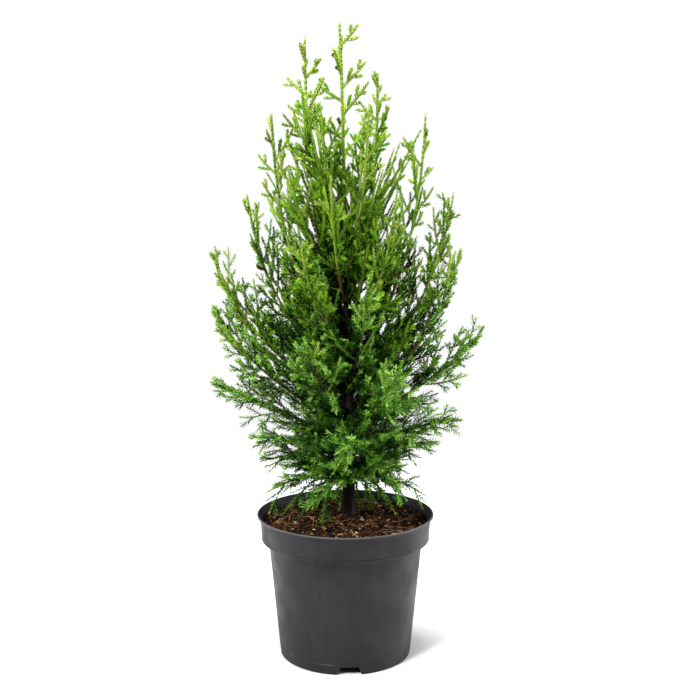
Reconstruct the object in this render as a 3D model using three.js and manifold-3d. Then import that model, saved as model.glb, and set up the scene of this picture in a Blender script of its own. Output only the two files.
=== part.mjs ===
// A young false cypress growing in a round nursery pot.
// Millimetres, +Z up, the origin on the ground under the middle of the pot, the front facing -Y.
import * as THREE from "three";
import { mergeVertices } from "three/addons/utils/BufferGeometryUtils.js";
import Module from "manifold-3d";

const wasm = await Module();
wasm.setup();

// Pot sizes
const POT_HEIGHT = 139;
const POT_SIDES = 42;
const RIM_RADIUS = 85;
const LIP_HEIGHT = 5;
const COLLAR_TOP_RADIUS = 82;
const COLLAR_FOOT_RADIUS = 80.4;
const COLLAR_FOOT_HEIGHT = 114;
const NECK_RADIUS = 74.1;
const BASE_RADIUS = 63;
const WALL = 1.8;
const POT_EDGE = 1.2;
const LIP_FLARE = 2;
const SHELF_FOOT = 1;
const SHELF_TOP = 2;
const FOOT_RING_WIDTH = 3.2;
const FLOOR_UNDERSIDE = 8;
const FLOOR_THICKNESS = 2;
const NOTCH = { count: 3, azimuth: -86.5, topWidth: 17, footWidth: 24, height: 7, depth: 12 };

// Soil sizes
const SEAT_GAP = 0.3;
const SOIL_EDGE_HEIGHT = 128.6;
const SOIL_TOP_HEIGHT = 137;
const SOIL_SEAT_RADIUS = 13;
const SOIL_BUMP = 1.6;
const SOIL_RINGS = 4;
const SOIL_SIDES = 28;

// Trunk sizes, with heights measured up from the soil
const PLANT_HEIGHT = 461;
const TRUNK_TOP = 330;
const TRUNK_FOOT = { x: 2.5, y: 4 };
const TRUNK_TIP = { x: -6.7, y: 0 };
const TRUNK_LEAN = 3;
const TRUNK_SWAY = 1.3;
const TRUNK_WAVES = 1.3;
const TRUNK_RADII = [[0, 9], [4, 7.5], [12, 6.4], [60, 5.4], [120, 4.4], [218, 2.9], [330, 1.8], [461, 1]];
const TRUNK_SIDES = 10;
const TRUNK_STEPS = 16;
const TRUNK_RING_CROWDING = 1.6;

// Crown sizes by height: how far out the tips reach, where its middle lies, and how limbs leave the trunk
const CROWN_REACH = [
  [13, 74], [45, 80], [85, 96], [118, 124], [183, 127], [258, 120], [303, 99], [380, 71], [448, 39], [461, 8],
];
const CROWN_SHIFT = [[90, 0], [170, -9], [260, -9], [320, 3]];
const LIMB_RISE = [
  [30, -4], [50, 13], [60, 17], [90, 31], [120, 42], [160, 52], [220, 60], [300, 66], [350, 70],
];
const LIMB_REACH = [[31, 1], [60, 0.95], [92, 0.88], [300, 0.82]];
const LIMB_ARCH = [[30, 0.28], [70, 0.16], [115, 0]];
const LIMB_BELLY = [0.35, 0.75];
const LIMB_SAG = 0.3;
const LIMB_ROOM = [3, 60];
const LIMB_START = { step: 0.001, most: 0.4 };
const LOWEST_LIMB = 31;
const HIGHEST_LIMB = 304;
const TRUNK_LIMBS = 30;
const LIMB_CROWDING = 1.7;
const LIMB_RISE_SPREAD = 14;
const LIMB_TURNS = 36;
const LOW_LIMB_AZIMUTHS = { 0: 184, 1: 354, 2: 250, 3: 308, 5: 178, 6: 348, 7: 192 };

// Main boughs: azimuth in degrees, height of the foot, reach of the tip and height of the tip
const BOUGHS = {
  left_leader: [172, 168, 37.5, 449],
  inner_leader: [28, 178, 34, 416],
  right_leader: [352, 146, 74, 379],
  left_shoulder: [190, 150, 68.5, 379],
  left_upper: [165, 132, 96.5, 305],
  right_upper: [15, 128, 106.5, 307],
  left_wing: [184, 112, 125, 254],
  right_wing: [350, 108, 107, 255],
  left_middle: [202, 88, 130, 205],
  right_middle: [5, 85, 130.5, 176],
  left_low: [170, 68, 130.5, 122],
  right_low: [345, 61, 111, 98],
};
const BOUGH_SHARE = 0.36;
const BOUGH_RADIUS = 2.5;
const BOUGH_TAPER = 0.66;
const BOUGH_SIDES = 6;
const BOUGH_STEPS = 5;

// Foliage sizes
const STEM_RADIUS = [1.6, 0.85];
const STEM_SIDES = 3;
const STEM_STEPS = 4;
const SPRAY_SPACING = [[60, 8.2], [130, 10.9]];
const SPRAY_FIRST = 9;
const SPRAY_LENGTH = { base: 30, perLimb: 0.2, tipShare: 0.3, variety: 0.12, shortest: 17 };
const SPRAY_ANGLE = [50, 32];
const SPRAY_REACH = [0.84, 1.02];
const SPRAY_LEAST_REACH = [
  [200, 40], [280, 66], [315, 79], [345, 78], [380, 68], [410, 60], [432, 42], [450, 36],
];
const SPRAY_OUTER = 0.35;
const SPRAY_TURN = 137.5;
const SPRAY_WIDTH = 0.7;
const SPRAY_TRIES = [1, 0.85, 0.71, 0.58, 0.47];
const SPRAY_TURNS = [0, 100, 190, 280];
const TOOTH_PITCH = 23;
const RIB_SPAN = [0.1, 0.76];
const TOOTH_SWEEP = 0.85;
const TOOTH_REACH = [1.2, 0.62];
const RIB_HALF_WIDTH = 0.9;
const RIB_HEIGHT = 1.3;
const RIB_TAPER = 0.42;
const END_SPRAY = { length: 26, sunk: 3 };
const LIMB_CLEARANCE = 0.9;
const CELL_MARGIN = 1.3;
const SPRAY_SLACK = 3;
const LEAF_FLOOR = 5;
const SKELETON_PITCH = 4;

// Finishes
const finish = (color, roughness) => new THREE.MeshStandardMaterial({ color, roughness, metalness: 0 });
const POT_PLASTIC = finish(0x42444a, 0.62);
const SOIL_PEAT = finish(0x4a3222, 0.95);
const BARK = finish(0x4d3a2b, 0.9);
const FOLIAGE_TOP = finish(0x8fa63c, 0.7);
const FOLIAGE_LOW = finish(0x4f7a4a, 0.75);
const FOLIAGE_CHANGE = 150;

const MESH_TOLERANCE = 0.05;
const WELD = 1e-4;
const radians = THREE.MathUtils.degToRad;
const mix = THREE.MathUtils.lerp;

// Seeded chance from 0 to 1
function chance(a, b, c) {
  let h = Math.imul(a, 0x9e3779b1) ^ Math.imul(b, 0x85ebca77) ^ Math.imul(c, 0xc2b2ae3d);
  h ^= h >>> 15;
  h = Math.imul(h, 0x2c1b3c6d);
  h ^= h >>> 12;
  h = Math.imul(h, 0x297a2d39);
  h ^= h >>> 15;
  return (h >>> 0) / 4294967296;
}

// Straight-line reading of a table of [place, value] pairs
function along(table, place) {
  const next = table.findIndex(([x]) => x >= place);
  if (next === 0) return table[0][1];
  if (next < 0) return table.at(-1)[1];
  const [x0, y0] = table[next - 1];
  const [x1, y1] = table[next];
  return mix(y0, y1, (place - x0) / (x1 - x0));
}

// A closed geometry as a solid, its faces turned outwards
function solidFrom(geometry) {
  const bare = new THREE.BufferGeometry();
  bare.setAttribute("position", geometry.getAttribute("position").clone());
  if (geometry.index) bare.setIndex(geometry.index.clone());
  const merged = mergeVertices(bare, WELD);
  const place = merged.getAttribute("position");
  const corners = [new THREE.Vector3(), new THREE.Vector3(), new THREE.Vector3()];
  const faces = [];
  let volume = 0;
  for (let i = 0; i < merged.index.count; i += 3) {
    const face = [0, 1, 2].map((k) => merged.index.getX(i + k));
    if (new Set(face).size < 3) continue;
    corners.forEach((corner, k) => corner.fromBufferAttribute(place, face[k]));
    volume += corners[0].dot(corners[1].clone().cross(corners[2]));
    faces.push(face);
  }
  const triVerts = Uint32Array.from(faces.flatMap((face) => (volume < 0 ? face.reverse() : face)));
  const vertProperties = Float32Array.from(place.array);
  return new wasm.Manifold(new wasm.Mesh({ numProp: 3, vertProperties, triVerts }));
}

// The largest body of a solid as a named mesh, with any sealed hollow filled
function meshFrom(name, solid, material) {
  const bodies = solid.simplify(MESH_TOLERANCE).decompose();
  bodies.sort((a, b) => b.volume() - a.volume());
  const { vertProperties, triVerts } = bodies[0].getMesh();
  const geometry = new THREE.BufferGeometry();
  geometry.setAttribute("position", new THREE.BufferAttribute(Float32Array.from(vertProperties), 3));
  geometry.setIndex(Array.from(triVerts));
  geometry.computeVertexNormals();
  const mesh = new THREE.Mesh(geometry, material);
  mesh.name = name;
  return mesh;
}

function turned(profile, sides) {
  const points = profile.map(([radius, height]) => new THREE.Vector2(radius, height));
  return new THREE.LatheGeometry(points, sides).rotateX(Math.PI / 2);
}

// Pot: a thin moulding with a stepped collar, a rounded lip, a raised floor and drain notches
function bodyRadius(height) {
  return mix(BASE_RADIUS, NECK_RADIUS, height / COLLAR_FOOT_HEIGHT);
}

function collarRadius(height) {
  const lipFoot = POT_HEIGHT - LIP_HEIGHT;
  const share = (height - COLLAR_FOOT_HEIGHT) / (lipFoot - COLLAR_FOOT_HEIGHT);
  return mix(COLLAR_FOOT_RADIUS, COLLAR_TOP_RADIUS, share);
}

function potProfile() {
  const floorTop = FLOOR_UNDERSIDE + FLOOR_THICKNESS;
  const lipFoot = POT_HEIGHT - LIP_HEIGHT;
  return [
    [0, FLOOR_UNDERSIDE],
    [bodyRadius(FLOOR_UNDERSIDE) - WALL, FLOOR_UNDERSIDE],
    [BASE_RADIUS - FOOT_RING_WIDTH, 0],
    [BASE_RADIUS - POT_EDGE, 0],
    [bodyRadius(POT_EDGE), POT_EDGE],
    [bodyRadius(COLLAR_FOOT_HEIGHT), COLLAR_FOOT_HEIGHT],
    [COLLAR_FOOT_RADIUS - POT_EDGE, COLLAR_FOOT_HEIGHT],
    [collarRadius(COLLAR_FOOT_HEIGHT + POT_EDGE), COLLAR_FOOT_HEIGHT + POT_EDGE],
    [COLLAR_TOP_RADIUS, lipFoot],
    [RIM_RADIUS, lipFoot + LIP_FLARE],
    [RIM_RADIUS, POT_HEIGHT - POT_EDGE],
    [RIM_RADIUS - POT_EDGE, POT_HEIGHT],
    [COLLAR_TOP_RADIUS + POT_EDGE / 2, POT_HEIGHT],
    [COLLAR_TOP_RADIUS - WALL, lipFoot],
    [collarRadius(COLLAR_FOOT_HEIGHT + SHELF_TOP) - WALL, COLLAR_FOOT_HEIGHT + SHELF_TOP],
    [bodyRadius(COLLAR_FOOT_HEIGHT) - WALL, COLLAR_FOOT_HEIGHT + SHELF_FOOT],
    [bodyRadius(floorTop) - WALL, floorTop],
    [0, floorTop],
  ];
}

function notchCutter(azimuth) {
  const outline = new THREE.Shape();
  outline.moveTo(-NOTCH.footWidth / 2, -1);
  outline.lineTo(NOTCH.footWidth / 2, -1);
  outline.lineTo(NOTCH.topWidth / 2, NOTCH.height);
  outline.lineTo(-NOTCH.topWidth / 2, NOTCH.height);
  const block = new THREE.ExtrudeGeometry(outline, { depth: NOTCH.depth, bevelEnabled: false });
  block.rotateX(Math.PI / 2);
  block.translate(0, -(BASE_RADIUS - NOTCH.depth / 2), 0);
  return solidFrom(block.rotateZ(radians(azimuth + 90)));
}

function makePot() {
  let solid = solidFrom(turned(potProfile(), POT_SIDES));
  for (let i = 0; i < NOTCH.count; i += 1) {
    solid = solid.subtract(notchCutter(NOTCH.azimuth + (i * 360) / NOTCH.count));
  }
  return meshFrom("pot", solid, POT_PLASTIC);
}

// Soil: fills the pot, mounded towards the trunk, with a flat seat under it and a bumpy top
function makeSoil() {
  const bottom = FLOOR_UNDERSIDE + FLOOR_THICKNESS + SEAT_GAP;
  const step = COLLAR_FOOT_HEIGHT + SHELF_FOOT - SEAT_GAP;
  const shelf = COLLAR_FOOT_HEIGHT + SHELF_TOP + SEAT_GAP;
  const profile = [
    [0, bottom],
    [bodyRadius(bottom) - WALL - SEAT_GAP, bottom],
    [bodyRadius(step) - WALL - 2 * SEAT_GAP, step],
    [bodyRadius(step) - WALL - 2 * SEAT_GAP, shelf + SEAT_GAP],
    [collarRadius(shelf) - WALL - 2 * SEAT_GAP, shelf + SEAT_GAP],
  ];
  const edgeRadius = collarRadius(SOIL_EDGE_HEIGHT) - WALL - 2 * SEAT_GAP;
  for (let ring = 0; ring <= SOIL_RINGS; ring += 1) {
    const share = ring / SOIL_RINGS;
    const rise = Math.sin((share * Math.PI) / 2);
    profile.push([mix(edgeRadius, SOIL_SEAT_RADIUS, share), mix(SOIL_EDGE_HEIGHT, SOIL_TOP_HEIGHT, rise)]);
  }
  profile.push([0, SOIL_TOP_HEIGHT]);
  const geometry = turned(profile, SOIL_SIDES);
  const place = geometry.getAttribute("position");
  for (let i = 0; i < place.count; i += 1) {
    const radius = Math.hypot(place.getX(i), place.getY(i));
    if (place.getZ(i) < SOIL_EDGE_HEIGHT - 1 || radius < SOIL_SEAT_RADIUS + 1) continue;
    const turn = Math.round((Math.atan2(place.getY(i), place.getX(i)) * SOIL_SIDES) / (2 * Math.PI));
    const bump = chance(Math.round(radius) + 1, ((turn + SOIL_SIDES) % SOIL_SIDES) + 1, 7) - 0.5;
    place.setZ(i, place.getZ(i) + 2 * SOIL_BUMP * bump);
  }
  return meshFrom("soil", solidFrom(geometry), SOIL_PEAT);
}

// Trunk: a tapering stem with a root flare and a slight lean, cut flat at the soil
function trunkAxis(height) {
  const share = height / PLANT_HEIGHT;
  const lean = share ** TRUNK_LEAN;
  const sway = TRUNK_SWAY * Math.sin(share * TRUNK_WAVES * 2 * Math.PI);
  return new THREE.Vector3(
    mix(TRUNK_FOOT.x, TRUNK_TIP.x, lean) + sway,
    mix(TRUNK_FOOT.y, TRUNK_TIP.y, lean) - sway * (1 - share),
    height,
  );
}

function trunkRadius(height) {
  return along(TRUNK_RADII, height);
}

// A tapering limb: a cylinder whose rings are laid along a path given by frameAt(share)
function taperedLimb(frameAt, radiusAt, sides, steps) {
  const geometry = new THREE.CylinderGeometry(1, 1, 1, sides, steps);
  const place = geometry.getAttribute("position");
  const local = new THREE.Vector3();
  for (let i = 0; i < place.count; i += 1) {
    local.fromBufferAttribute(place, i);
    const share = Math.min(Math.max(local.y + 0.5, 0), 1);
    const { point, side, up } = frameAt(share);
    const radius = radiusAt(share);
    point.addScaledVector(side, local.x * radius).addScaledVector(up, local.z * radius);
    place.setXYZ(i, point.x, point.y, point.z);
  }
  return geometry;
}

function levelFrame(height) {
  return { point: trunkAxis(height), side: new THREE.Vector3(1, 0, 0), up: new THREE.Vector3(0, -1, 0) };
}

function makeTrunk() {
  const heightAt = (share) => TRUNK_TOP * share ** TRUNK_RING_CROWDING;
  const geometry = taperedLimb(
    (share) => levelFrame(heightAt(share)),
    (share) => trunkRadius(heightAt(share)),
    TRUNK_SIDES,
    TRUNK_STEPS,
  );
  return meshFrom("trunk", solidFrom(geometry), BARK);
}

// Limbs: each follows one bent line from the trunk's middle to its tip
function makeLimb(name, azimuth, footHeight, reach, tipHeight, boughShare) {
  const turn = radians(azimuth);
  const foot = trunkAxis(footHeight);
  const tip = new THREE.Vector3(reach * Math.cos(turn), reach * Math.sin(turn), tipHeight);
  const rise = tipHeight - footHeight;
  const steepness = rise / (Math.abs(rise) + reach);
  const belly = foot.clone().lerp(tip, LIMB_BELLY[0] + LIMB_BELLY[1] * Math.max(steepness, 0));
  belly.z = footHeight + LIMB_SAG * rise + reach * along(LIMB_ARCH, footHeight);
  const curve = new THREE.QuadraticBezierCurve3(foot, belly, tip);
  const side = new THREE.Vector3(foot.y - tip.y, tip.x - foot.x, 0).normalize();
  const limb = { name, curve, side, length: curve.getLength(), boughShare };
  limb.start = limbStart(limb);
  limb.skeleton = skeletonOf(limb);
  return limb;
}

function limbFrame(limb, t) {
  const tangent = limb.curve.getTangent(t);
  const up = new THREE.Vector3().crossVectors(limb.side, tangent);
  return { point: limb.curve.getPoint(t), side: limb.side, up, tangent };
}

function stemRadius(limb, t) {
  const share = Math.max(t - limb.boughShare, 0) / (1 - limb.boughShare);
  return mix(STEM_RADIUS[0], STEM_RADIUS[1], share);
}

function boughRadius(limb, t) {
  return BOUGH_RADIUS * mix(1, BOUGH_TAPER, t / limb.boughShare);
}

function limbRadius(limb, t) {
  return t < limb.boughShare ? boughRadius(limb, t) : stemRadius(limb, t);
}

// Corners and edge middles of a limb's cut end
function cutEnd(limb, t) {
  const sides = limb.boughShare ? BOUGH_SIDES : STEM_SIDES;
  const { point, side, up } = limbFrame(limb, t);
  const corners = Array.from({ length: sides }, (_, k) => {
    const turn = (2 * Math.PI * k) / sides;
    const outward = side.clone().multiplyScalar(Math.sin(turn)).addScaledVector(up, Math.cos(turn));
    return outward.multiplyScalar(limbRadius(limb, t)).add(point);
  });
  return corners.flatMap((corner, k) => [corner, corner.clone().lerp(corners[(k + 1) % sides], 0.5)]);
}

// Where a limb first stands clear of the trunk by the seat gap
function limbStart(limb) {
  const clear = (point) => point.distanceTo(trunkAxis(point.z)) > trunkRadius(point.z) + SEAT_GAP;
  let t = LIMB_START.step;
  while (t < LIMB_START.most && !cutEnd(limb, t).every(clear)) t += LIMB_START.step;
  return t;
}

function skeletonOf(limb) {
  const count = Math.ceil(limb.length / SKELETON_PITCH);
  return Array.from({ length: count + 1 }, (_, i) => {
    const t = mix(limb.start, 1, i / count);
    return { point: limb.curve.getPoint(t), radius: limbRadius(limb, t), share: t };
  });
}

function nearest(skeleton, point) {
  let best = { distance: Infinity, clear: Infinity };
  for (const knot of skeleton) {
    const distance = knot.point.distanceTo(point);
    if (distance < best.distance) best = { distance, clear: distance - knot.radius };
  }
  return best;
}

// How much room a limb has: its least distance to the others, eased towards the trunk
function roomOf(limb, others) {
  let room = Infinity;
  for (const knot of limb.skeleton) {
    const allowance = LIMB_ROOM[0] + LIMB_ROOM[1] * knot.share;
    for (const other of others) {
      room = Math.min(room, nearest(other.skeleton, knot.point).distance / allowance);
    }
  }
  return room;
}

function tipReach(footHeight, rise) {
  const share = along(LIMB_REACH, footHeight);
  let reach = 4;
  while (reach < share * along(CROWN_REACH, footHeight + reach * Math.tan(rise))) reach += 0.5;
  return reach;
}

// Some of the lowest limbs go to the sides and the front; the others may take any direction
function limbAzimuths(i) {
  if (i in LOW_LIMB_AZIMUTHS) return [LOW_LIMB_AZIMUTHS[i]];
  const turns = Array.from({ length: LIMB_TURNS }, (_, turn) => turn);
  return turns.map((turn) => ((turn + chance(i + 1, turn + 1, 3)) * 360) / LIMB_TURNS);
}

function makeLimbs() {
  const limbs = Object.entries(BOUGHS).map(([name, sizes]) => makeLimb(name, ...sizes, BOUGH_SHARE));
  for (let i = 0; i < TRUNK_LIMBS; i += 1) {
    const footShare = (i / (TRUNK_LIMBS - 1)) ** LIMB_CROWDING;
    const footHeight = mix(LOWEST_LIMB, HIGHEST_LIMB, footShare);
    const spread = LIMB_RISE_SPREAD * (chance(i + 1, 5, 4) - 0.5);
    const rise = radians(along(LIMB_RISE, footHeight) + spread);
    const reach = tipReach(footHeight, rise);
    const name = String(i + 1).padStart(2, "0");
    let best = null;
    for (const azimuth of limbAzimuths(i)) {
      const tipHeight = footHeight + reach * Math.tan(rise);
      const shift = along(CROWN_SHIFT, tipHeight) * Math.cos(radians(azimuth));
      const limb = makeLimb(name, azimuth, footHeight, reach + shift, tipHeight, 0);
      limb.room = roomOf(limb, limbs);
      if (!best || limb.room > best.room) best = limb;
    }
    limbs.push(best);
  }
  return limbs;
}

function makeBough(limb) {
  const end = limb.boughShare - SEAT_GAP / limb.length;
  const shareToT = (share) => mix(limb.start, end, share);
  const geometry = taperedLimb(
    (share) => limbFrame(limb, shareToT(share)),
    (share) => boughRadius(limb, shareToT(share)),
    BOUGH_SIDES,
    BOUGH_STEPS,
  );
  return meshFrom(`bough_${limb.name}`, solidFrom(geometry), BARK);
}

// One spray: a toothed blade with a raised rib, from a pointed root at the origin to its tip along +X
function sprayPoints(length, width, teeth) {
  const points = { root: new THREE.Vector3(), tip: new THREE.Vector3(length, 0, 0) };
  Object.assign(points, { left: [], right: [], ridge: [], leftTooth: [], rightTooth: [] });
  for (let k = 1; k <= teeth; k += 1) {
    const share = k / teeth;
    const x = length * mix(RIB_SPAN[0], RIB_SPAN[1], share);
    const taper = 1 - RIB_TAPER * share;
    const reach = (width / 2) * mix(TOOTH_REACH[0], TOOTH_REACH[1], share);
    points.left.push(new THREE.Vector3(x, RIB_HALF_WIDTH * taper, 0));
    points.right.push(new THREE.Vector3(x, -RIB_HALF_WIDTH * taper, 0));
    points.ridge.push(new THREE.Vector3(x, 0, RIB_HEIGHT * taper));
    points.leftTooth.push(new THREE.Vector3(x + TOOTH_SWEEP * reach, reach, 0));
    points.rightTooth.push(new THREE.Vector3(x + TOOTH_SWEEP * reach, -reach, 0));
  }
  return points;
}

function sprayFaces({ root, left, right, ridge, leftTooth, rightTooth, tip }) {
  const faces = [];
  const last = left.length - 1;
  for (let k = 0; k <= last; k += 1) {
    const [leftBack, rightBack, ridgeBack] = [left, right, ridge].map((row) => (k ? row[k - 1] : root));
    faces.push([leftBack, left[k], leftTooth[k]], [right[k], rightBack, rightTooth[k]]);
    faces.push([leftBack, rightBack, right[k]], [leftBack, right[k], left[k]]);
    faces.push([ridgeBack, leftBack, leftTooth[k]], [ridgeBack, leftTooth[k], ridge[k]]);
    faces.push([rightBack, ridgeBack, rightTooth[k]], [rightTooth[k], ridgeBack, ridge[k]]);
    faces.push([ridge[k], leftTooth[k], left[k]], [rightTooth[k], ridge[k], right[k]]);
  }
  faces.push([left[last], right[last], tip], [ridge[last], left[last], tip], [right[last], ridge[last], tip]);
  return faces.filter((face) => new Set(face).size === 3);
}

function placedSpray(length, root, ahead, across) {
  const teeth = Math.max(2, Math.round(length / TOOTH_PITCH));
  const points = sprayPoints(length, length * SPRAY_WIDTH, teeth);
  const facing = new THREE.Vector3().crossVectors(ahead, across).normalize();
  const width = new THREE.Vector3().crossVectors(facing, ahead);
  const place = new THREE.Matrix4().makeBasis(ahead, width, facing).setPosition(root);
  Object.values(points).flat().forEach((point) => point.applyMatrix4(place));
  return points;
}

function spraySolid(points) {
  const corners = sprayFaces(points).flat();
  return solidFrom(new THREE.BufferGeometry().setFromPoints(corners));
}

// A spray keeps to its limb's own space: nearer that limb than any other, and clear of all wood
function keepsToSpace(points, limb, limbs, trunk, ownReach) {
  const { left, right, leftTooth, rightTooth, tip } = points;
  const notches = [...left, ...right];
  const teeth = [...leftTooth, ...rightTooth];
  const halfway = teeth.map((tooth, k) => tooth.clone().lerp(notches[k], 0.5));
  const probes = [tip, ...notches, ...teeth, ...halfway];
  return probes.every((probe) => {
    if (probe.z < LEAF_FLOOR || probe.z > PLANT_HEIGHT) return false;
    const reach = Math.max(ownReach, along(SPRAY_LEAST_REACH, probe.z)) + SPRAY_SLACK;
    if (Math.hypot(probe.x, probe.y) > reach) return false;
    if (nearest(trunk, probe).clear < LIMB_CLEARANCE) return false;
    const own = nearest(limb.skeleton, probe).distance;
    return limbs.every((other) => {
      if (other === limb) return true;
      const { distance, clear } = nearest(other.skeleton, probe);
      return distance > own + CELL_MARGIN && clear > LIMB_CLEARANCE;
    });
  });
}

// Foliage mass: one stem with sprays set round it in a spiral and one spray at its end
function makeMass(limb, limbs, trunk, seed) {
  const first = Math.max(limb.boughShare, limb.start);
  const last = 1 - END_SPRAY.length / limb.length;
  const stem = taperedLimb(
    (share) => limbFrame(limb, mix(first, last, share)),
    (share) => stemRadius(limb, mix(first, last, share)),
    STEM_SIDES,
    STEM_STEPS,
  );
  const solids = [solidFrom(stem)];
  const end = limbFrame(limb, last - END_SPRAY.sunk / limb.length);
  const ahead = limb.curve.getPoint(1).sub(end.point);
  const endLength = ahead.length();
  solids.push(spraySolid(placedSpray(endLength, end.point, ahead.normalize(), end.up)));
  const leafLength = (last - first) * limb.length;
  const spacing = along(SPRAY_SPACING, limb.curve.v0.z);
  const sprays = Math.floor((leafLength - SPRAY_FIRST) / spacing);
  for (let i = 0; i < sprays; i += 1) {
    const share = (SPRAY_FIRST + i * spacing) / leafLength;
    const { point, side, up, tangent } = limbFrame(limb, mix(first, last, share));
    const longest = SPRAY_LENGTH.base + SPRAY_LENGTH.perLimb * limb.length;
    const variety = SPRAY_LENGTH.variety * (2 * chance(seed, i + 1, 1) - 1);
    const length = longest * mix(1, SPRAY_LENGTH.tipShare, share) * (1 + variety);
    const lean = radians(mix(SPRAY_ANGLE[0], SPRAY_ANGLE[1], share));
    const start = radians(SPRAY_TURN * i + 360 * chance(seed, 1, 2));
    const limbReach = Math.hypot(limb.curve.v2.x, limb.curve.v2.y);
    const ownReach = limbReach * mix(SPRAY_REACH[0], SPRAY_REACH[1], share ** 2);
    const radial = new THREE.Vector3(point.x, point.y, 0).normalize();
    for (const [shorten, swing] of SPRAY_TRIES.flatMap((part) => SPRAY_TURNS.map((turn) => [part, turn]))) {
      const turn = start + radians(swing);
      const outward = side.clone().multiplyScalar(Math.cos(turn)).addScaledVector(up, Math.sin(turn));
      const fitted = length * shorten * (1 - SPRAY_OUTER * Math.max(outward.dot(radial), 0));
      if (fitted < SPRAY_LENGTH.shortest) continue;
      const heading = tangent.clone().multiplyScalar(Math.cos(lean)).addScaledVector(outward, Math.sin(lean));
      const points = placedSpray(fitted, point, heading, tangent);
      if (!keepsToSpace(points, limb, limbs, trunk, ownReach)) continue;
      solids.push(spraySolid(points));
      break;
    }
  }
  const material = limb.curve.v2.z > FOLIAGE_CHANGE ? FOLIAGE_TOP : FOLIAGE_LOW;
  return meshFrom(`foliage_${limb.name}`, wasm.Manifold.union(solids), material);
}

// The topmost mass goes on up the line of the trunk from its cut end
function makeTopLimb() {
  const foot = trunkAxis(TRUNK_TOP + SEAT_GAP);
  const tip = trunkAxis(PLANT_HEIGHT);
  const curve = new THREE.QuadraticBezierCurve3(foot, trunkAxis((foot.z + tip.z) / 2), tip);
  const limb = { name: "top", curve, side: new THREE.Vector3(0, 1, 0), length: curve.getLength() };
  Object.assign(limb, { boughShare: 0, start: 0 });
  limb.skeleton = skeletonOf(limb);
  return limb;
}

function makePlant() {
  const plant = new THREE.Group();
  plant.position.z = SOIL_TOP_HEIGHT + SEAT_GAP;
  plant.add(makeTrunk());
  const limbs = [makeTopLimb(), ...makeLimbs()];
  const heights = Array.from({ length: TRUNK_TOP / SKELETON_PITCH }, (_, i) => i * SKELETON_PITCH);
  const trunk = heights.map((height) => ({ point: trunkAxis(height), radius: trunkRadius(height) }));
  limbs.filter((limb) => limb.boughShare > 0).forEach((limb) => plant.add(makeBough(limb)));
  limbs.forEach((limb, i) => plant.add(makeMass(limb, limbs, trunk, i + 1)));
  return plant;
}

const pottedCypress = new THREE.Group();
pottedCypress.add(makePot(), makeSoil(), makePlant());

export default pottedCypress;
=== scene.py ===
import math

import bpy
import numpy as np
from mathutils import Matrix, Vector, noise


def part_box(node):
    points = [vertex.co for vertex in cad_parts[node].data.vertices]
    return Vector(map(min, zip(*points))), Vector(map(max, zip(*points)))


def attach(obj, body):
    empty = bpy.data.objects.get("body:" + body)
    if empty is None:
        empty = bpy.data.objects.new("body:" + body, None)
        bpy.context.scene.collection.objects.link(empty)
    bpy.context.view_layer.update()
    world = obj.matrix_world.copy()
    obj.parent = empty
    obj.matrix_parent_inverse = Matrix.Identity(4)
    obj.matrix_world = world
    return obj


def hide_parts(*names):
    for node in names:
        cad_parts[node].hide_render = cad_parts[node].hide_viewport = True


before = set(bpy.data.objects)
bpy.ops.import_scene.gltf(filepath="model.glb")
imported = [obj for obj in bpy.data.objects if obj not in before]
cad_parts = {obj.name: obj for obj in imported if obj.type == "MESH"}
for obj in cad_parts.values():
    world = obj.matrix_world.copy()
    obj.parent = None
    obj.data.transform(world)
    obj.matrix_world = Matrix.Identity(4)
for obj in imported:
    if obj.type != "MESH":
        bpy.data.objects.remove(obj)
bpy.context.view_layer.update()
mm = 0.001
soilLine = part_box("trunk")[0].z / mm  # the plant's own heights start here
plantFoot = np.array([0, 0, soilLine])
skyward = np.array([0, 0, 1.0])
black, white = (0, 0, 0, 1), (1, 1, 1, 1)
print("frame loaded", len(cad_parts), "nodes")


# Small helpers

class Values(dict):  # a dictionary whose values are read with a dot
    __getattr__ = dict.__getitem__


def screenColour(tone):  # 0-255 screen values to linear ones
    part = np.array(tone) / 255
    linear = np.where(part <= 0.04045, part / 12.92, ((part + 0.055) / 1.055) ** 2.4)
    return (*[float(v) for v in linear], 1.0)


def chance(a, b, c):  # seeded 0 to 1, the same rule as the part's source
    low = np.uint64(0xFFFFFFFF)
    a, b, c = (np.asarray(v).astype(np.uint64) for v in (a, b, c))
    h = (a * np.uint64(0x9E3779B1) ^ b * np.uint64(0x85EBCA77) ^ c * np.uint64(0xC2B2AE3D)) & low
    for shift, factor in ((15, 0x2C1B3C6D), (12, 0x297A2D39), (15, 1)):
        h = ((h ^ (h >> np.uint64(shift))) * np.uint64(factor)) & low
    return h.astype(float) / 4294967296


def swing(a, b, c):  # the same draw to either side of zero
    return chance(a, b, c) - 0.5


def mix(a, b, share):
    return a + (b - a) * share


def ranged(pair, draw):  # the least value, and what a draw adds to it
    return pair[0] + pair[1] * draw


def along(table, place):
    return np.interp(place, *zip(*table))


def unit(v):
    return v / np.maximum(np.linalg.norm(v, axis=-1, keepdims=True), 1e-9)


def noiseAt(x, y, z):
    return noise.noise(Vector((x, y, z)))


def evenTurns(count):
    return 2 * math.pi * np.arange(count) / count


def ringRound(across, facing, count):  # directions round each point of a line
    turns = evenTurns(count)[:, None]
    return across[:, None] * np.cos(turns) + facing[:, None] * np.sin(turns)


def spread(counts):  # owner and step number of each child
    owner = np.repeat(np.arange(len(counts)), counts)
    step = np.arange(int(counts.sum())) - np.repeat(np.cumsum(counts) - counts, counts)
    return owner, step


def addObject(name, data):
    item = bpy.data.objects.new(name, data)
    bpy.context.scene.collection.objects.link(item)
    return item


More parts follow.
